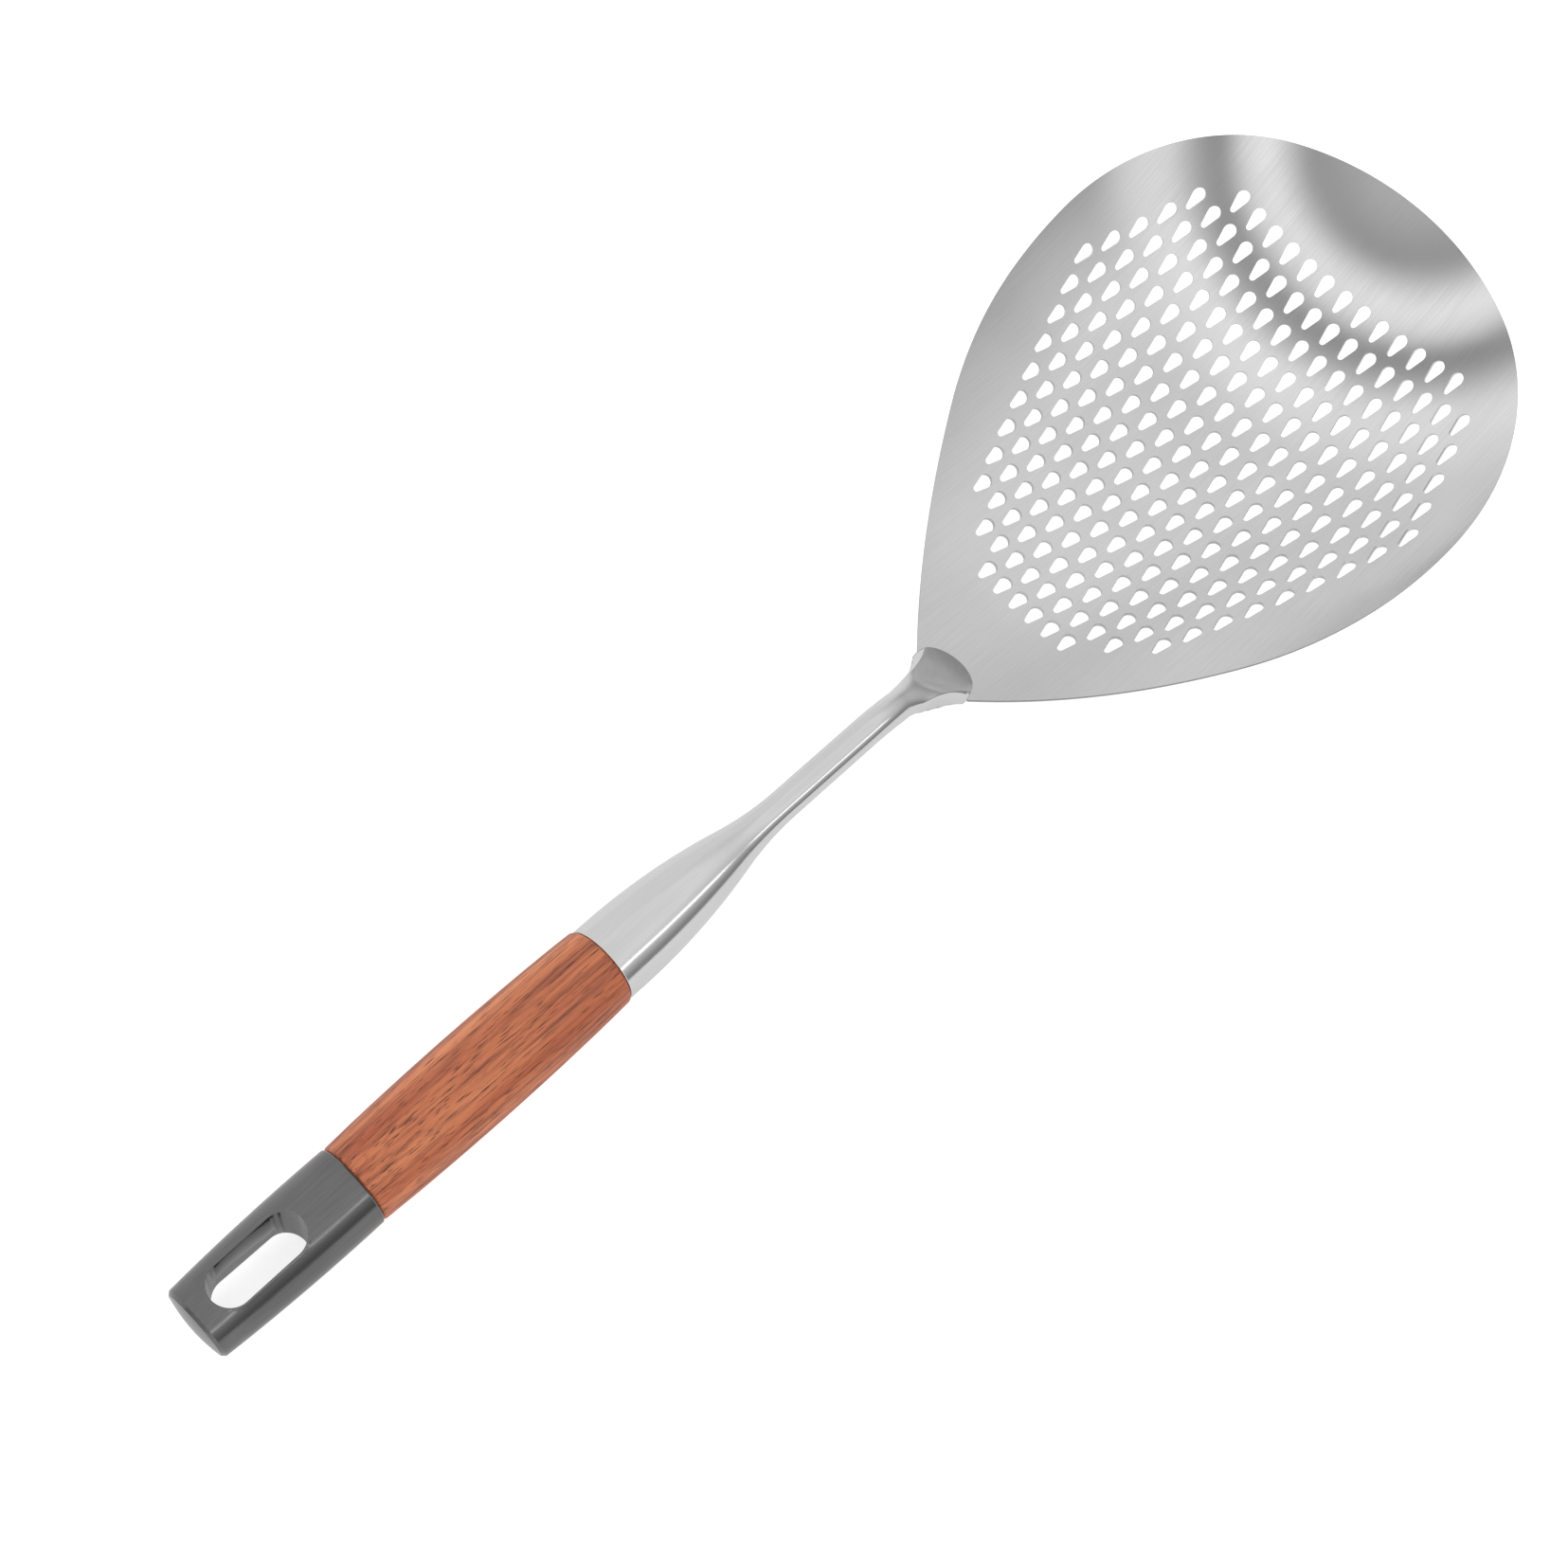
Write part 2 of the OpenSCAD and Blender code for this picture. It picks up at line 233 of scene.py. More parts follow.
# %% [markdown]
# ## The bowl: one sheet, drawn flat
#
# A real bowl like this is a flat blank, punched and then pressed. The mesh goes the same way. The
# outline is a chain of arcs, and an arc is a single vertex that is spun about a centre, so four spins
# draw one side. Each hole is a teardrop made of two more spins. The flat drawing is filled, cut into
# small pieces so that it can bend, and given its thickness and its broken edges while it is still
# flat, where those operators work best. Only then is every vertex lifted onto the dish.

# %% The outline as a chain of arcs
HALF_WIDTH = 75.5
TIP_Y = 95.6
REAR_Y = 101
WIDEST_Y = 26.4
TIP_ARC = 85.3
BELLY_ARC = 121
BELLY_TURN = radians(31.6)
FLANK_ARC = 450
SHEET = 1.2
MARKS = ("rim_share", "shaded_punched_wall", "rim_shade_line")


def arc(bm, start, centre, turn, steps, axis=(0, 0, 1)):
    """Spins one vertex into an arc and returns the last vertex."""
    swept = bmesh.ops.spin(bm, geom=[start], cent=centre, axis=axis, angle=turn, steps=steps)
    return [v for v in swept["geom_last"] if isinstance(v, bmesh.types.BMVert)][0]


tip_centre = TIP_Y - TIP_ARC
side_x = ((WIDEST_Y - tip_centre) ** 2 - (TIP_ARC - HALF_WIDTH) ** 2) / (2 * (TIP_ARC - HALF_WIDTH))
tip_turn = atan2(WIDEST_Y - tip_centre, side_x)
belly_x = HALF_WIDTH - BELLY_ARC
flank_x = belly_x + (BELLY_ARC - FLANK_ARC) * cos(BELLY_TURN)
flank_y = WIDEST_Y - (BELLY_ARC - FLANK_ARC) * sin(BELLY_TURN)
flank_turn = asin((REAR_Y + flank_y) / FLANK_ARC) - BELLY_TURN

bowl = bmesh.new()
for mark in MARKS:
    bowl.verts.layers.float.new(mark)
rim_share = bowl.verts.layers.float["rim_share"]
point = bowl.verts.new((0, TIP_Y, 0))
point = arc(bowl, point, (0, tip_centre, 0), tip_turn - pi / 2, 22)
point = arc(bowl, point, (side_x, WIDEST_Y, 0), -tip_turn, 36)
point = arc(bowl, point, (belly_x, WIDEST_Y, 0), -BELLY_TURN, 30)
point = arc(bowl, point, (flank_x, flank_y, 0), -flank_turn, 30)
bmesh.ops.mirror(bowl, geom=bowl.verts[:] + bowl.edges[:], axis="X", merge_dist=0.001)
rear_corners = [v for v in bowl.verts if len(v.link_edges) == 1]
bmesh.ops.contextual_create(bowl, geom=rear_corners)
for v in bowl.verts:
    v[rim_share] = 1
print("outline:", len(bowl.edges), "edges, rear corners at", [round(v.co.x, 1) for v in rear_corners])

# %% [markdown]
# ## Where the holes go
#
# The rows are counted from the tip. Within a row the pitch is even, but pressing has stretched the
# blank: the pitch changes a little from row to row, and each row bows toward the neck at its ends.
# Each teardrop is drawn at the origin and laid on the dish by a matrix that leans it square to the
# sheet. Flattened again, it has just the outline that a straight look from above would show.

# %% The teardrop rows
CROSS_R = 109.4
FRONT_R = 116.4
REAR_R = 395.4
ROW_COUNTS = [13, 16, 17, 18, 19, 20, 19, 18, 17, 16, 15, 14, 13, 12, 9, 6]
HOLE_PITCH = 7
ROW_PITCH = 9.44
FIRST_ROW = 77.6
BIG_R = 2.03
SMALL_R = 0.95
HOLE_LEN = 4.48
HOLE_BACK = 0.64
REACH = 70
PITCH_GROWTH = 0.072
PITCH_EASE = 0.048
ROW_BOW = 3.12
TIP_BOW = 4.19


def teardrop(bm, place):
    """Draws the outline of one hole, its wide end toward the tip, and moves it into place."""
    tilt = asin((BIG_R - SMALL_R) / HOLE_LEN)
    small_y = -HOLE_BACK * HOLE_LEN
    big_y = small_y + HOLE_LEN
    before = set(bm.verts)
    big_start = bm.verts.new((BIG_R * cos(tilt), big_y - BIG_R * sin(tilt), 0))
    big_end = arc(bm, big_start, (0, big_y, 0), pi + 2 * tilt, 11)
    small_start = bm.verts.new((-SMALL_R * cos(tilt), small_y - SMALL_R * sin(tilt), 0))
    small_end = arc(bm, small_start, (0, small_y, 0), pi - 2 * tilt, 5)
    bm.edges.new((big_end, small_start))
    bm.edges.new((small_end, big_start))
    ring = [v for v in bm.verts if v not in before]
    bmesh.ops.transform(bm, matrix=place, verts=ring)


def laid_on_dish(x, y):
    """The matrix that lays something square on the dish at the plan position x, y."""
    along_r = FRONT_R if y > 0 else REAR_R
    depth = CROSS_R - sqrt(CROSS_R**2 - x**2)
    up = Matrix.Translation((0, 0, along_r))
    lean = Matrix.Rotation(asin(y / (along_r - depth)), 4, "X")
    to_ring = Matrix.Translation((0, 0, CROSS_R - along_r))
    across = Matrix.Rotation(-asin(x / CROSS_R), 4, "Y")
    down = Matrix.Translation((0, 0, -CROSS_R))
    return up @ lean @ to_ring @ across @ down


hole_count = 0
one_hole = bmesh.new()
for row, count in enumerate(ROW_COUNTS):
    along = FIRST_ROW - row * ROW_PITCH
    share = along / REACH
    along_r = FRONT_R if along > 0 else REAR_R
    row_y = along_r * sin(along / along_r)
    pitch = HOLE_PITCH * (1 + PITCH_GROWTH * share - PITCH_EASE * share**2)
    for i in range(count):
        x = CROSS_R * sin((i - (count - 1) / 2) * pitch / CROSS_R)
        y = row_y - (ROW_BOW + TIP_BOW * share) * (x / REACH) ** 2
        teardrop(one_hole, laid_on_dish(x, y))
        hole_count += 1
hole_mesh = bpy.data.meshes.new("hole_rings")
one_hole.to_mesh(hole_mesh)
one_hole.free()
bowl.from_mesh(hole_mesh)
bpy.data.meshes.remove(hole_mesh)
bmesh.ops.scale(bowl, vec=(1, 1, 0), verts=bowl.verts)
print(hole_count, "holes in", len(ROW_COUNTS), "rows")

# %% Fill the drawing and cut it so that it can bend
bmesh.ops.triangle_fill(bowl, use_beauty=True, use_dissolve=False, edges=bowl.edges, normal=(0, 0, 1))
SLICE = 5
for axis, low, high in ((0, -75, 75), (1, -100, 95)):
    for cut in range(low, high + 1, SLICE):
        level = Vector((0, 0, 0))
        level[axis] = cut
        normal = Vector((0, 0, 0))
        normal[axis] = 1
        everything = bowl.verts[:] + bowl.edges[:] + bowl.faces[:]
        bmesh.ops.bisect_plane(bowl, geom=everything, dist=0.05, plane_co=level, plane_no=normal)
print("flat blank:", len(bowl.faces), "faces")

# %% [markdown]
# ## Thickness and broken edges
#
# Solidify turns the blank into a plate of the real thickness. A sharp plate edge never catches the
# light, but a real one is rubbed round, so the rim gets a wide soft bevel and the holes a narrow one.
# The edges to bevel are simply those where two faces meet at a steep angle.

# %% Solidify, then bevel the rim and the holes
bmesh.ops.recalc_face_normals(bowl, faces=bowl.faces)
if bowl.faces[0].normal.z < 0:
    bmesh.ops.reverse_faces(bowl, faces=bowl.faces)
bmesh.ops.solidify(bowl, geom=bowl.faces, thickness=SHEET)
top_z = max(v.co.z for v in bowl.verts)
bmesh.ops.translate(bowl, vec=(0, 0, -top_z), verts=bowl.verts)
bmesh.ops.recalc_face_normals(bowl, faces=bowl.faces)

RIM_ROUND = 0.55
HOLE_ROUND = 0.2
bevel = dict(
    offset_type="OFFSET", segments=2, profile=0.5, affect="EDGES", material=-1, clamp_overlap=True
)


def plate_edges(at_rim):
    """The sharp edges of the plate, at its rim or round its holes."""
    sharp = [e for e in bowl.edges if len(e.link_faces) == 2 and e.calc_face_angle() > 1]
    return [e for e in sharp if (min(v[rim_share] for v in e.verts) > 0.9) == at_rim]


print(len(plate_edges(True)), "rim edges and", len(plate_edges(False)), "hole edges")
bmesh.ops.bevel(bowl, geom=plate_edges(False), offset=HOLE_ROUND, **bevel)
bmesh.ops.bevel(bowl, geom=plate_edges(True), offset=RIM_ROUND, **bevel)
open_edges = sum(1 for e in bowl.edges if len(e.link_faces) != 2)
print("plate:", len(bowl.faces), "faces,", open_edges, "open edges")

# %% [markdown]
# ## Pressing the plate
#
# The dish is part of a ring surface: one radius across, one along the front half and a much larger
# one along the rear half. A vertex of the plate keeps its place seen from above and moves to its
# height on that surface. Round the holes its depth in the plate follows the surface's own normal, as
# in a punched hole, and at the rim it goes straight down, because the rim is trimmed after pressing.
# The hole walls and a thin band of the rim's rounding are marked here, for the steel's painted shade.
#
# The normals are stored for shading too. Calculated from the long thin faces between the holes they
# would wobble, and a mirror-like metal shows the smallest wobble.

# %% Lift every vertex onto the dish and store exact normals
def dish_normal(x, y):
    """The direction square to the dish at the plan position x, y."""
    along_r = FRONT_R if y > 0 else REAR_R
    across = asin(x / CROSS_R)
    along = asin(y / (along_r - CROSS_R + CROSS_R * cos(across)))
    return Vector((-sin(across), -cos(across) * sin(along), cos(across) * cos(along)))


def dish_height(x, y):
    """The height of the dish's upper face at the plan position x, y."""
    along_r = FRONT_R if y > 0 else REAR_R
    ring_r = along_r - CROSS_R + sqrt(CROSS_R**2 - x**2)
    return along_r - sqrt(ring_r**2 - y**2)


RIM_SHADE_TOP = -0.05
RIM_SHADE_LOW = -0.3
ON_FACE = 0.001
flat_depth = []
shading = []
rim_share, shaded_punched_wall, rim_shade_line = [bowl.verts.layers.float[name] for name in MARKS]
for v in bowl.verts:
    x, y, depth = v.co
    at_rim = v[rim_share] > 0.9
    # The hole walls, marked for their painted shade and their duller metal.
    v[shaded_punched_wall] = HOLE_ROUND / 2 - SHEET < depth < -HOLE_ROUND / 2 and not at_rim
    # A thin band of the rim's rounding, marked for its painted dark line.
    v[rim_shade_line] = RIM_SHADE_LOW < depth < RIM_SHADE_TOP and at_rim
    normal = dish_normal(x, y)
    punched = normal * depth
    trimmed = Vector((0, 0, depth / normal.z))
    v.co = Vector((x, y, dish_height(x, y))) + punched.lerp(trimmed, min(1, v[rim_share]))
    flat_depth.append(depth)
    if depth > -ON_FACE:
        shading.append(normal)
    elif depth < ON_FACE - SHEET:
        shading.append(-normal)
    else:
        shading.append(Vector((0, 0, 0)))

bowl_piece = finish(bowl, "pressed_bowl", bowl_steel, "bowl", on_table, corner=180)
turn = on_table.to_3x3().normalized()
bowl_piece.data.normals_split_custom_set_from_vertices([turn @ n for n in shading])
print("sheet thickness:", round(max(flat_depth) - min(flat_depth), 3), "mm")

# %% [markdown]
# ## The neck: one tube, swaged, bent and pressed
#
# The neck is a single tube: wide where it holds the wood, drawn down to a slender stem, bent toward
# the bowl, and pressed flat at its end. Its straight part is a turned shape, so one half of its
# section is drawn with spun vertices and then spun about the handle's line. A socket for the wood
# and its fixings goes in from the wide end; deeper in, the skin needs no bore. The bend is a spin of
# the last ring about another axis. The pressed end is made ring by ring: each ring is extruded from
# the one before and its vertices eased from a circle toward the bowl's surface.

# %% Half section of the ferrule and neck
FERRULE_R = 11.1
NECK_R = 4.35
SHOULDER_AT = -5
SHOULDER_ARC = 195
WAIST_ARC = 95
BEND_AT = -97.7
LIP = 0.35
TUBE_WALL = 1
SPIGOT = 12
SOCKET_END = 24
AROUND = 64

shoulder_turn = acos(1 - (FERRULE_R - NECK_R) / (SHOULDER_ARC + WAIST_ARC))
neck = bmesh.new()
socket_r = FERRULE_R - TUBE_WALL
point = neck.verts.new((0, 0, -SOCKET_END))
socket = ((socket_r - 1, -SOCKET_END), (socket_r, -SPIGOT), (socket_r, 0), (FERRULE_R - LIP, 0))
for r, z in socket:
    following = neck.verts.new((r, 0, z))
    neck.edges.new((point, following))
    point = following
point = arc(neck, point, (FERRULE_R - LIP, 0, -LIP), pi / 2, 4, axis=(0, 1, 0))
shoulder_top = neck.verts.new((FERRULE_R, 0, SHOULDER_AT))
neck.edges.new((point, shoulder_top))
shoulder_centre = (FERRULE_R - SHOULDER_ARC, 0, SHOULDER_AT)
point = arc(neck, shoulder_top, shoulder_centre, shoulder_turn, 14, axis=(0, 1, 0))
waist_z = SHOULDER_AT - (SHOULDER_ARC + WAIST_ARC) * sin(shoulder_turn)
point = arc(neck, point, (NECK_R + WAIST_ARC, 0, waist_z), -shoulder_turn, 10, axis=(0, 1, 0))
neck_end = neck.verts.new((NECK_R, 0, BEND_AT))
neck.edges.new((point, neck_end))
print("half section:", len(neck.verts), "points, waist at", round(waist_z, 1))

# %% Spin the section, then spin its last ring round the bend
section = neck.verts[:] + neck.edges[:]
bmesh.ops.spin(
    neck, geom=section, cent=(0, 0, 0), axis=(0, 0, 1), angle=2 * pi, steps=AROUND, use_merge=True
)
bmesh.ops.remove_doubles(neck, verts=neck.verts, dist=0.001)

BEND_R = 40
DROP = radians(23)

ring = [e for e in neck.edges if e.is_boundary]
ring_verts = list({v for e in ring for v in e.verts})
swept = bmesh.ops.spin(
    neck, geom=ring_verts + ring, cent=(0, -BEND_R, BEND_AT), axis=(1, 0, 0), angle=RISE - DROP, steps=8
)
bend_verts = [g for g in swept["geom_last"] if isinstance(g, bmesh.types.BMVert)]
bmesh.ops.transform(neck, matrix=handle_frame, verts=neck.verts)
centre = sum((v.co for v in bend_verts), Vector()) / len(bend_verts)
print("bend ends at", [round(c, 2) for c in centre])

# %% [markdown]
# ## The pressed end
#
# Seen from above the end is half a circle lying on the bowl. Each new ring is wider than the last
# and bulges further forward until it fills that half circle. Its upper side keeps going down almost
# straight, like the neck itself, so it ends in a low step on the bowl. Its lower side settles on the
# bowl. Across, the round tube turns into a flat roof with two steep sides, and the edges between
# them are the slim ridges that run out to the corners.

# %% Ease the rings from a circle to the half moon
MOON_R = 9.8
MOON_Y = -103.3
MOON_EDGE = 0.8
ROOF_BOW = 0.75
ROOF_SIDES = 1.5
SIDE_LIFT = 0.9
UNDERCUT = 0.4
FAN_CURVE = 2.6
PRESS_SOON = 1.4
RINGS = 20

front_y = MOON_Y + MOON_R
roof_start = centre + NECK_R * Vector((0, sin(DROP), cos(DROP)))
roof_end = dish_height(0, front_y) + MOON_EDGE


def ease(value):
    """A smooth step from 0 to 1."""
    value = min(1, max(0, value))
    return value * value * (3 - 2 * value)


def roof_height(y):
    """Height of the upper side, from the neck down to the front of the half moon."""
    share = (y - roof_start.y) / (front_y - roof_start.y)
    return roof_start.z + (roof_end - roof_start.z) * share * (ROOF_BOW + (1 - ROOF_BOW) * share)


def ring_point(t, angle):
    """A point of the ring at t, which is 0 at the neck and 1 at the half moon."""
    side, up = cos(angle), sin(angle)
    below = max(0, -up) * (1 - t)
    base_y = centre.y + (MOON_Y - centre.y) * t
    wide = NECK_R + (MOON_R - NECK_R) * t**FAN_CURVE
    x = side * wide * (1 - UNDERCUT * below * min(1, 3 * t))
    y = base_y + MOON_R * t**2 * abs(up) + (1 - t) * NECK_R * sin(DROP) * up
    round_z = centre.z - (base_y - centre.y) * sin(DROP) / cos(DROP) + NECK_R * cos(DROP) * up
    floor_z = dish_height(x, max(y, -REAR_Y - 2))
    steep = 1 - (1 - min(1, max(0, ROOF_SIDES * up + SIDE_LIFT * (1 - t)))) ** 2
    flat_z = floor_z + (roof_height(y) - floor_z) * steep
    pressed = ease(PRESS_SOON * t)
    return Vector((x, y, round_z * (1 - pressed) + flat_z * pressed)), floor_z


angles = {v: atan2((v.co - centre).dot(Vector((0, sin(DROP), cos(DROP)))), v.co.x) for v in bend_verts}
edges = [e for e in neck.edges if e.verts[0] in angles and e.verts[1] in angles]
for step in range(1, RINGS + 2):
    grown = bmesh.ops.extrude_edge_only(neck, edges=edges)["geom"]
    outer = {}
    for v in [g for g in grown if isinstance(g, bmesh.types.BMVert)]:
        for e in v.link_edges:
            if e.other_vert(v) in angles:
                outer[v] = angles[e.other_vert(v)]
    for v, angle in outer.items():
        v.co, floor_z = ring_point(min(1, step / RINGS), angle)
        if step > RINGS:
            v.co.z = floor_z
    angles = outer
    edges = [e for e in grown if isinstance(e, bmesh.types.BMEdge) and all(v in outer for v in e.verts)]
bmesh.ops.remove_doubles(neck, verts=neck.verts, dist=0.02)
print("edges still open:", sum(e.is_boundary for e in neck.edges))
finish(neck, "swaged_neck", neck_steel, "neck_tube", on_table, corner=45)

# %% [markdown]
# ## Rosewood
#
# The grip is a dense reddish hardwood. Its colour comes from three layers that all run along the
# grip: broad bands between orange brown and red brown, narrow dark streaks, and the short dark pores
# that make open-grained wood look dry even when it is oiled. The pores also dent the surface a
# little and are duller than the wood around them.

# %% The rosewood material
wood, nodes, links = shader_of("oiled_rosewood")
timber = nodes["Principled BSDF"]
grain_turn = (RISE - LEAN, 0, 0)
bands = mapped_noise(nodes, links, (170, 9, 170), detail=3, turn=grain_turn)
streaks = mapped_noise(nodes, links, (900, 22, 900), detail=5, turn=grain_turn)
pores = mapped_noise(nodes, links, (2600, 160, 2600), detail=2, turn=grain_turn)
ground = blended(
    nodes, links, spread(nodes, links, bands, 0, 1), (0.46, 0.100, 0.040), (0.86, 0.290, 0.120)
)
streaky = blended(nodes, links, spread(nodes, links, streaks, -0.5, 0.8), ground, (0.20, 0.040, 0.020))
porous = blended(nodes, links, spread(nodes, links, pores, -1.6, 0.8), streaky, (0.045, 0.012, 0.008))
links.new(porous, timber.inputs["Base Color"])
links.new(spread(nodes, links, pores, 0.36, 0.52), timber.inputs["Roughness"])
dents = nodes.new("ShaderNodeBump")
dents.invert = True
dents.inputs["Strength"].default_value = 0.25
dents.inputs["Distance"].default_value = 0.0002
links.new(pores, dents.inputs["Height"])
links.new(dents.outputs["Normal"], timber.inputs["Normal"])

# %% [markdown]
# ## The grip
#
# The grip is turned on a lathe, so it is a spin: a shallow barrel with softly rounded ends and a
# spigot that plugs into the ferrule. The side of the barrel follows one very large arc, and a point
# every few millimetres is enough to draw it.

# %% Turn the grip
WOOD_LEN = 82
WOOD_R = 12.3
WOOD_ARC = 900
WOOD_MID = 38
SPIGOT_R = 10
CORNER = 1.2
SIDE_PLACES = range(6, WOOD_LEN - 4, 6)


def barrel_radius(z, largest, big_arc, mid):
    """Radius at z of a barrel whose side is a large arc that is widest at mid."""
    return largest - big_arc + sqrt(big_arc**2 - (z - mid) ** 2)


def turned(points, steps=96):
    """Spins a chain of points round the handle's line and closes the poles."""
    bm = bmesh.new()
    chain = [bm.verts.new(p) for p in points]
    for a, b in zip(chain, chain[1:]):
        bm.edges.new((a, b))
    shape = bm.verts[:] + bm.edges[:]
    bmesh.ops.spin(
        bm, geom=shape, cent=(0, 0, 0), axis=(0, 0, 1), angle=2 * pi, steps=steps, use_merge=True
    )
    bmesh.ops.remove_doubles(bm, verts=bm.verts, dist=0.001)
    return bm


def corner_points(r, z, way, size, steps=6):
    """Points of a quarter round at the outer corner of a turned piece."""
    middle = Vector((r - size, 0, z - way * size))
    turns = [i * pi / 2 / steps for i in range(steps + 1)]
    return [middle + size * Vector((sin(a), 0, way * cos(a))) for a in turns]


front = corner_points(barrel_radius(0, WOOD_R, WOOD_ARC, WOOD_MID), 0, -1, CORNER)
back = corner_points(barrel_radius(WOOD_LEN, WOOD_R, WOOD_ARC, WOOD_MID), WOOD_LEN, 1, CORNER)
side = [Vector((barrel_radius(z, WOOD_R, WOOD_ARC, WOOD_MID), 0, z)) for z in SIDE_PLACES]
spigot = [Vector((0, 0, -SPIGOT)), Vector((SPIGOT_R, 0, -SPIGOT)), Vector((SPIGOT_R, 0, 0))]
profile = spigot + front + side
profile += list(reversed(back)) + [Vector((0, 0, WOOD_LEN))]
grip = turned(profile)
finish(grip, "turned_grip", wood, "wood_grip", handle_on_table)

# %% [markdown]
# ## The steel tail and its slot
#
# The tail is spun like the grip, with a gently domed end. The slot goes straight through it. Cutting
# a slot through a curved shell is a job for a Boolean modifier: the cutter is a stadium, two arcs
# joined by straight sides, extruded right through. The sleeve that lines the slot is what is left
# when a slightly larger stadium is trimmed to the tail's own outer form.

# %% The tail's form and the stadium cutters
CAP_LEN = 49
CAP_R = 11.4
CAP_ARC = 600
CAP_END = WOOD_LEN + CAP_LEN
CAP_WIDEST = WOOD_LEN + 8
DOME_R = 46
DOME_INSET = 0.8
SEAM_INSET = 0.3
SLOT_W = 11.4
SLOT_L = 27
SLEEVE = 0.8
LIP_ROUND = 0.25
SLOT_FROM_END = 6.5
SLOT_MID = CAP_END - SLOT_FROM_END - SLOT_L / 2


def tail_form():
    """The whole tail before it is cut: a slightly tapered barrel with a domed end."""
    rim_r = barrel_radius(CAP_END - 2, CAP_R, CAP_ARC, CAP_WIDEST)
    dome_angle = asin((rim_r - DOME_INSET) / DOME_R)
    dome_turns = [i * dome_angle / 8 for i in range(9)]
    dome = [Vector((DOME_R * sin(a), 0, CAP_END - DOME_R + DOME_R * cos(a))) for a in dome_turns]
    side_z = [WOOD_LEN + 0.4 + (CAP_LEN - 2.2) * i / 14 for i in range(15)]
    side_points = [Vector((barrel_radius(z, CAP_R, CAP_ARC, CAP_WIDEST), 0, z)) for z in side_z]
    start_r = barrel_radius(WOOD_LEN, CAP_R, CAP_ARC, CAP_WIDEST)
    start = [Vector((0, 0, WOOD_LEN)), Vector((start_r - SEAM_INSET, 0, WOOD_LEN))]
    return turned(start + side_points + list(reversed(dome)))


def stadium(width, length, deep=30):
    """A block with the outline of the slot, long enough to go right through the tail."""
    bm = bmesh.new()
    reach = (length - width) / 2
    first = bm.verts.new((width / 2, -deep / 2, SLOT_MID + reach))
    first_end = arc(bm, first, (0, -deep / 2, SLOT_MID + reach), -pi, 24, axis=(0, 1, 0))
    second = bm.verts.new((-width / 2, -deep / 2, SLOT_MID - reach))
    second_end = arc(bm, second, (0, -deep / 2, SLOT_MID - reach), -pi, 24, axis=(0, 1, 0))
    bm.edges.new((first_end, second))
    bm.edges.new((second_end, first))
    base = bmesh.ops.contextual_create(bm, geom=bm.edges)["faces"]
    walls = bmesh.ops.extrude_face_region(bm, geom=base, use_keep_orig=True)["geom"]
    moved = [g for g in walls if isinstance(g, bmesh.types.BMVert)]
    bmesh.ops.translate(bm, vec=(0, deep, 0), verts=moved)
    bmesh.ops.recalc_face_normals(bm, faces=bm.faces)
    return bm


def loose(bm, name):
    """Makes a passing object of a bmesh, for a Boolean modifier to work with."""
    bmesh.ops.recalc_face_normals(bm, faces=bm.faces)
    mesh = bpy.data.meshes.new(name)
    bm.to_mesh(mesh)
    bm.free()
    thing = bpy.data.objects.new(name, mesh)
    bpy.context.scene.collection.objects.link(thing)
    return thing


def carve(base, cutters):
    """Applies one Boolean for each cutter and returns the result as a bmesh."""
    for kind, cutter in cutters:
        cut = base.modifiers.new(cutter.name, "BOOLEAN")
        cut.operation = kind
        cut.solver = "EXACT"
        cut.object = cutter
    bpy.context.view_layer.update()
    result = bmesh.new()
    result.from_object(base, bpy.context.evaluated_depsgraph_get())
    for thing in [base] + [cutter for _, cutter in cutters]:
        bpy.data.objects.remove(thing)
    return result


# %% Cut the tail and the sleeve
cap_cutter = loose(stadium(SLOT_W + 2 * SLEEVE, SLOT_L + 2 * SLEEVE), "wide_cutter")
cap = carve(loose(tail_form(), "tail_blank"), [("DIFFERENCE", cap_cutter)])
finish(cap, "steel_tail", tail_steel, "tail_cap", handle_on_table, corner=35)

sleeve_outer = loose(stadium(SLOT_W + 2 * SLEEVE, SLOT_L + 2 * SLEEVE), "sleeve_outer")
sleeve_inner = loose(stadium(SLOT_W, SLOT_L), "sleeve_inner")
sleeve_steps = [("INTERSECT", sleeve_outer), ("DIFFERENCE", sleeve_inner)]
sleeve = carve(loose(tail_form(), "sleeve_blank"), sleeve_steps)
lips = [e for e in sleeve.edges if len(e.link_faces) == 2 and e.calc_face_angle() > radians(40)]
bmesh.ops.bevel(sleeve, geom=lips, offset=LIP_ROUND, **bevel)
finish(sleeve, "slot_lining", tail_steel, "slot_sleeve", handle_on_table, corner=35)

# %% [markdown]
# ## Pieces that stay as the CAD made them
#
# The disc, the nut, the rod and the plug are inside the handle, and the weld is a plain bead under
# the pressed end. Their shapes are right already, so they only need their metal.

# %% Give the kept nodes their metal
kept = {
    "ferrule_disc": inner_steel, "anchor_nut": inner_steel, "tie_rod": inner_steel,
    "cap_boss": inner_steel, "neck_weld": weld_metal,
}
for name, metal in kept.items():
    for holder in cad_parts[name].material_slots:
        holder.material = metal
print("kept CAD nodes:", ", ".join(kept))

# %% [markdown]
# ## The table
#
# The scoop lies on a white table that glows, like the light table of a product studio, so the holes
# read white. The same glow would shine into the underside of the metal, so a reflected ray meets a
# weaker glow than the camera does.

# %% The table
TABLE_R = 0.95
GLOW_IN_METAL = 0.25
GLOW_TO_CAMERA = 0.75

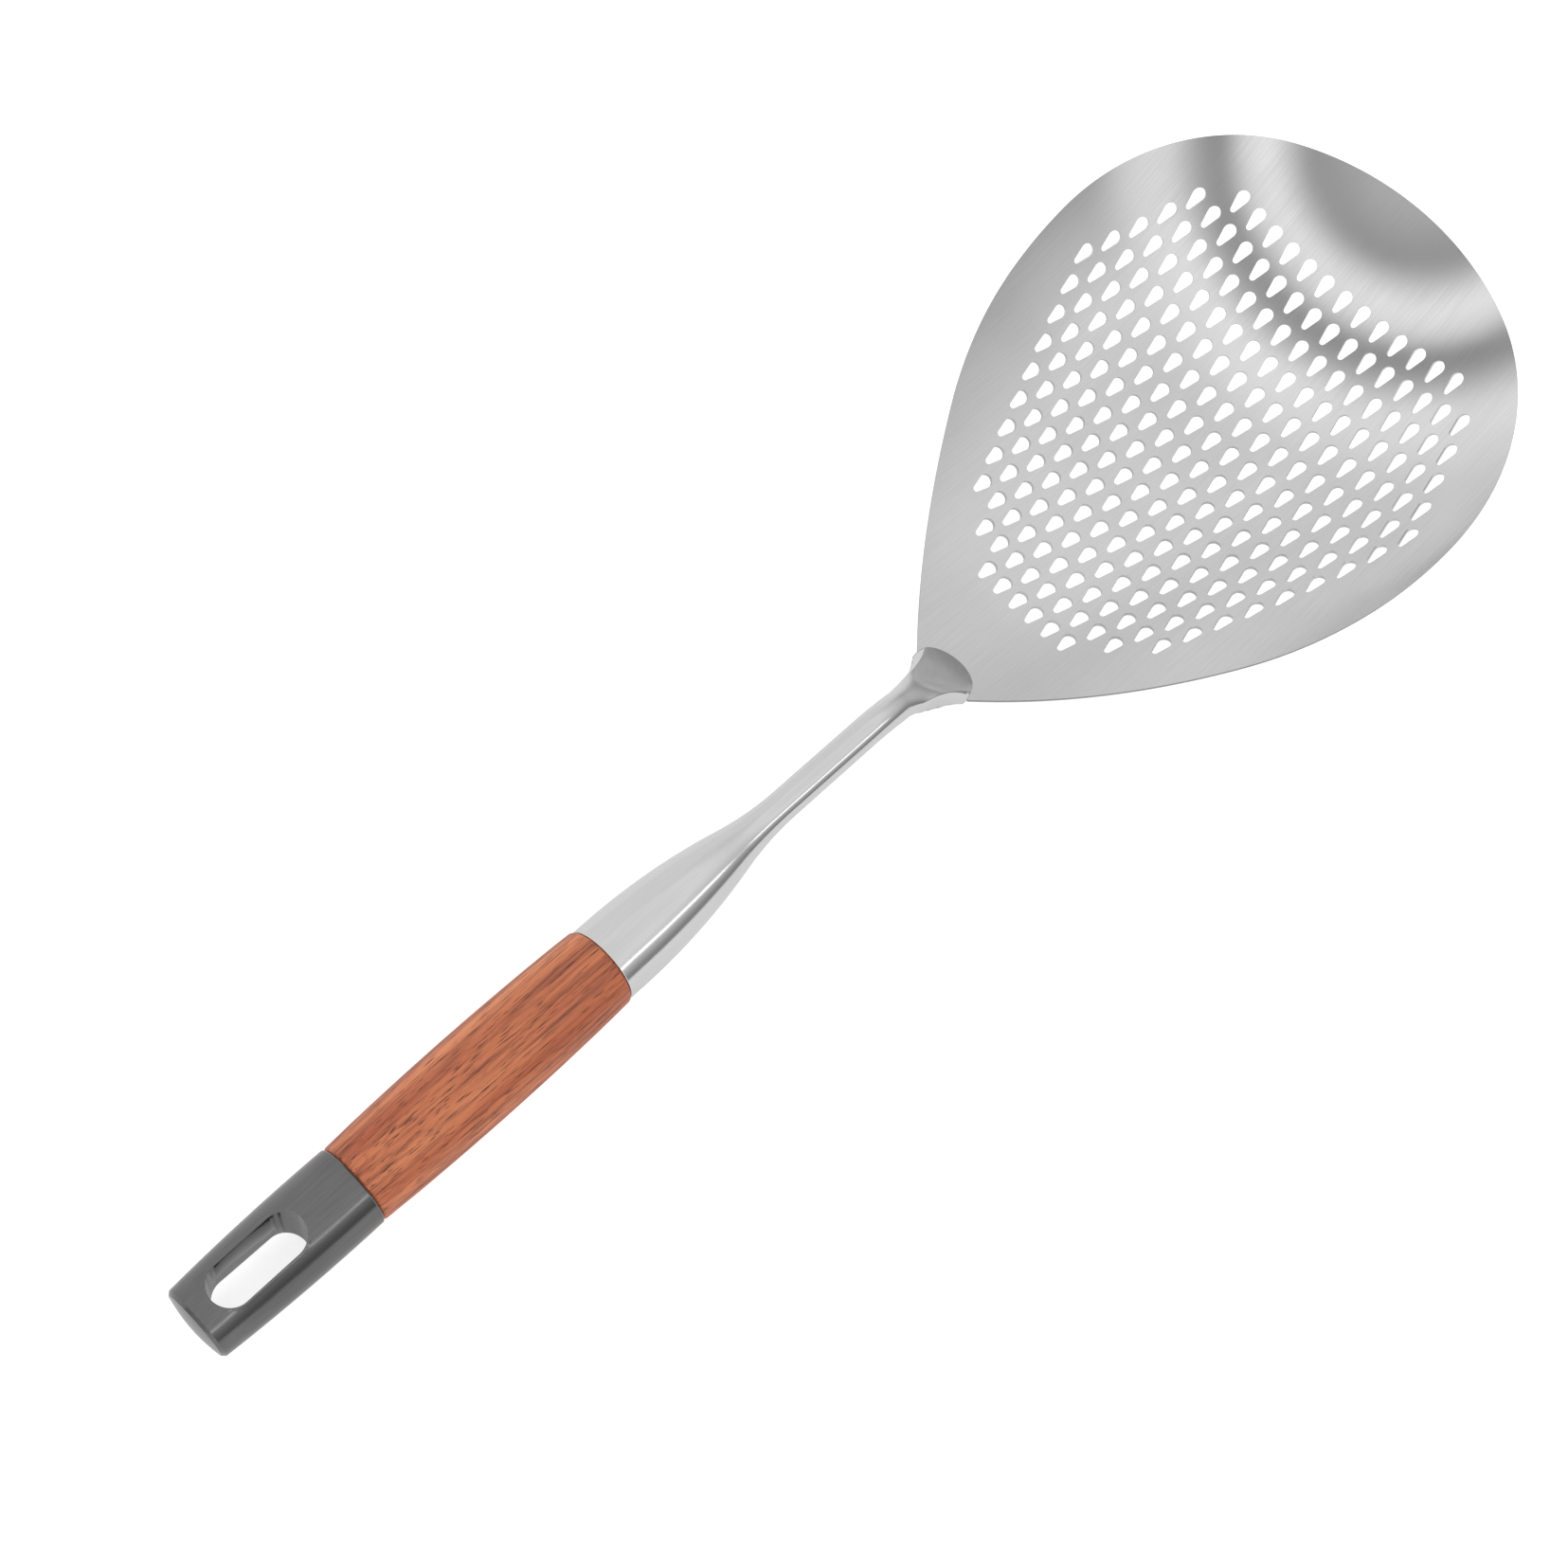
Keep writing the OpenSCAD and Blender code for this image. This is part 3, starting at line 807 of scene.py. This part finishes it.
table = bmesh.new()
bmesh.ops.create_circle(table, cap_ends=True, segments=96, radius=TABLE_R)
table_mesh = bpy.data.meshes.new("table")
table.to_mesh(table_mesh)
table.free()
table_top = bpy.data.objects.new("table", table_mesh)
bpy.context.scene.collection.objects.link(table_top)
pale, nodes, links = shader_of("pale_table")
surface = nodes["Principled BSDF"]
surface.inputs["Base Color"].default_value = (0.8, 0.8, 0.8, 1)
surface.inputs["Roughness"].default_value = 0.8
surface.inputs["Specular IOR Level"].default_value = 0
surface.inputs["Emission Color"].default_value = (1, 1, 1, 1)
seen = nodes.new("ShaderNodeLightPath")
glow = nodes.new("ShaderNodeMapRange")
glow.inputs["To Min"].default_value = GLOW_IN_METAL
glow.inputs["To Max"].default_value = GLOW_TO_CAMERA
links.new(seen.outputs["Is Camera Ray"], glow.inputs["Value"])
links.new(glow.outputs["Result"], surface.inputs["Emission Strength"])
table_mesh.materials.append(pale)

# %% [markdown]
# ## The room that the steel shows
#
# Satin steel has almost no look of its own: it shows the room. A picture of a real room would do,
# but nobody could say which part of it makes which band in the bowl. So the room is painted with
# grey ramps on the direction of a reflected ray. The walls are dark low down and bright higher up.
# Over the handle there are bright and dark bands, like a row of windows, and on the left side there
# is one even pale grey. The camera itself sees plain white instead.

# %% The room as soft ramps
def brightness_ramp(nodes, links, value, levels):
    """A grey ramp: pairs of a place between 0 and 1 and the brightness there."""
    ramp = nodes.new("ShaderNodeValToRGB")
    while len(ramp.color_ramp.elements) < len(levels):
        ramp.color_ramp.elements.new(0.5)
    for element, (place, level) in zip(ramp.color_ramp.elements, levels):
        element.position = place
        element.color = (level, level, level, 1)
    links.new(value, ramp.inputs["Fac"])
    return ramp.outputs["Color"]


def ranged(nodes, links, value, start, end):
    """A smooth step that is 0 at the start value and 1 at the end value."""
    step = nodes.new("ShaderNodeMapRange")
    step.interpolation_type = "SMOOTHSTEP"
    step.inputs["From Min"].default_value = start
    step.inputs["From Max"].default_value = end
    links.new(value, step.inputs["Value"])
    return step.outputs["Result"]


room = bpy.data.worlds.new("studio")
bpy.context.scene.world = room
room.use_nodes = True
nodes, links = room.node_tree.nodes, room.node_tree.links
direction = nodes.new("ShaderNodeTexCoord")
split = nodes.new("ShaderNodeSeparateXYZ")
links.new(direction.outputs["Generated"], split.inputs["Vector"])
tailward = calculated(nodes, links, "MULTIPLY", split.outputs["Y"], -1)

walls = brightness_ramp(nodes, links, split.outputs["Z"], [
    (0.10, 0.26), (0.22, 0.34), (0.48, 0.62), (0.66, 0.75), (0.80, 0.92), (0.97, 0.84),
])
windows = brightness_ramp(nodes, links, tailward, [
    (0.20, 1.00), (0.38, 1.10), (0.52, 0.42), (0.60, 0.20),
    (0.67, 1.05), (0.77, 1.25), (0.86, 0.32), (0.97, 0.62),
])
on_left = ranged(nodes, links, split.outputs["X"], -0.3, -0.7)
over_handle = ranged(nodes, links, tailward, 0.0, 0.25)
pale_side = blended(nodes, links, on_left, walls, (0.84, 0.84, 0.84))
reflected = blended(nodes, links, over_handle, pale_side, windows)
ray = nodes.new("ShaderNodeLightPath")
chosen = blended(nodes, links, ray.outputs["Is Camera Ray"], reflected, (1, 1, 1))
links.new(chosen, nodes["Background"].inputs["Color"])
print("the room has", len(nodes), "nodes")

# %% [markdown]
# ## One long light for the handle
#
# A long narrow soft box beside the scoop draws the bright line along the neck, the wood and the
# tail. In the bowl it would make a hot spot on one wall, so light linking lets it reach the pieces
# of the handle only.

# %% A soft box that lights the handle alone
BOX_COMPASS = radians(5)
BOX_ELEVATION = radians(38)
BOX_DISTANCE = 1.2

line_light = bpy.data.lights.new("line_light", "AREA")
line_light.shape = "RECTANGLE"
line_light.size = 1.6
line_light.size_y = 0.10
line_light.energy = 0.9
soft_box = bpy.data.objects.new("line_light", line_light)
bpy.context.scene.collection.objects.link(soft_box)
toward_x = cos(BOX_COMPASS) * cos(BOX_ELEVATION)
toward_y = sin(BOX_COMPASS) * cos(BOX_ELEVATION)
away = Vector((toward_x, toward_y, sin(BOX_ELEVATION)))
soft_box.location = BOX_DISTANCE * away
soft_box.rotation_euler = away.to_track_quat("Z", "Y").to_euler()

handle_pieces = bpy.data.collections.new("handle_pieces")
for name in ("swaged_neck", "turned_grip", "steel_tail", "slot_lining"):
    handle_pieces.objects.link(bpy.data.objects[name])
soft_box.light_linking.receiver_collection = handle_pieces

# %% [markdown]
# ## The camera
#
# The camera looks steeply down along the scoop with the handle at the lower left. It is placed in
# the bowl's own frame by a point, a compass angle, a height angle and a roll, and carried to the
# table by the same matrix as the bowl.

# %% Place the camera
CAMERA_AT = Vector((115.15, -367.77, 610.30))
COMPASS = radians(30.18)
HEIGHT_ANGLE = radians(67.74)
ROLL = radians(15.68)
FOCAL_LENGTH = 54.38

lens = bpy.data.cameras.new("camera")
lens.sensor_width = 36
lens.lens = FOCAL_LENGTH
lens.clip_start = 0.01
camera = bpy.data.objects.new("camera", lens)
bpy.context.scene.collection.objects.link(camera)
aim = Matrix.Rotation(LEAN, 4, "X") @ Matrix.Rotation(COMPASS, 4, "Z")
aim = aim @ Matrix.Rotation(pi / 2 - HEIGHT_ANGLE, 4, "X") @ Matrix.Rotation(ROLL, 4, "Z")
camera.matrix_world = Matrix.Translation(on_table @ CAMERA_AT) @ aim
bpy.context.scene.camera = camera
bpy.context.scene.view_settings.view_transform = "Standard"
print("camera looks down at", round(degrees(asin(camera.matrix_world.col[2].z)), 1), "degrees")
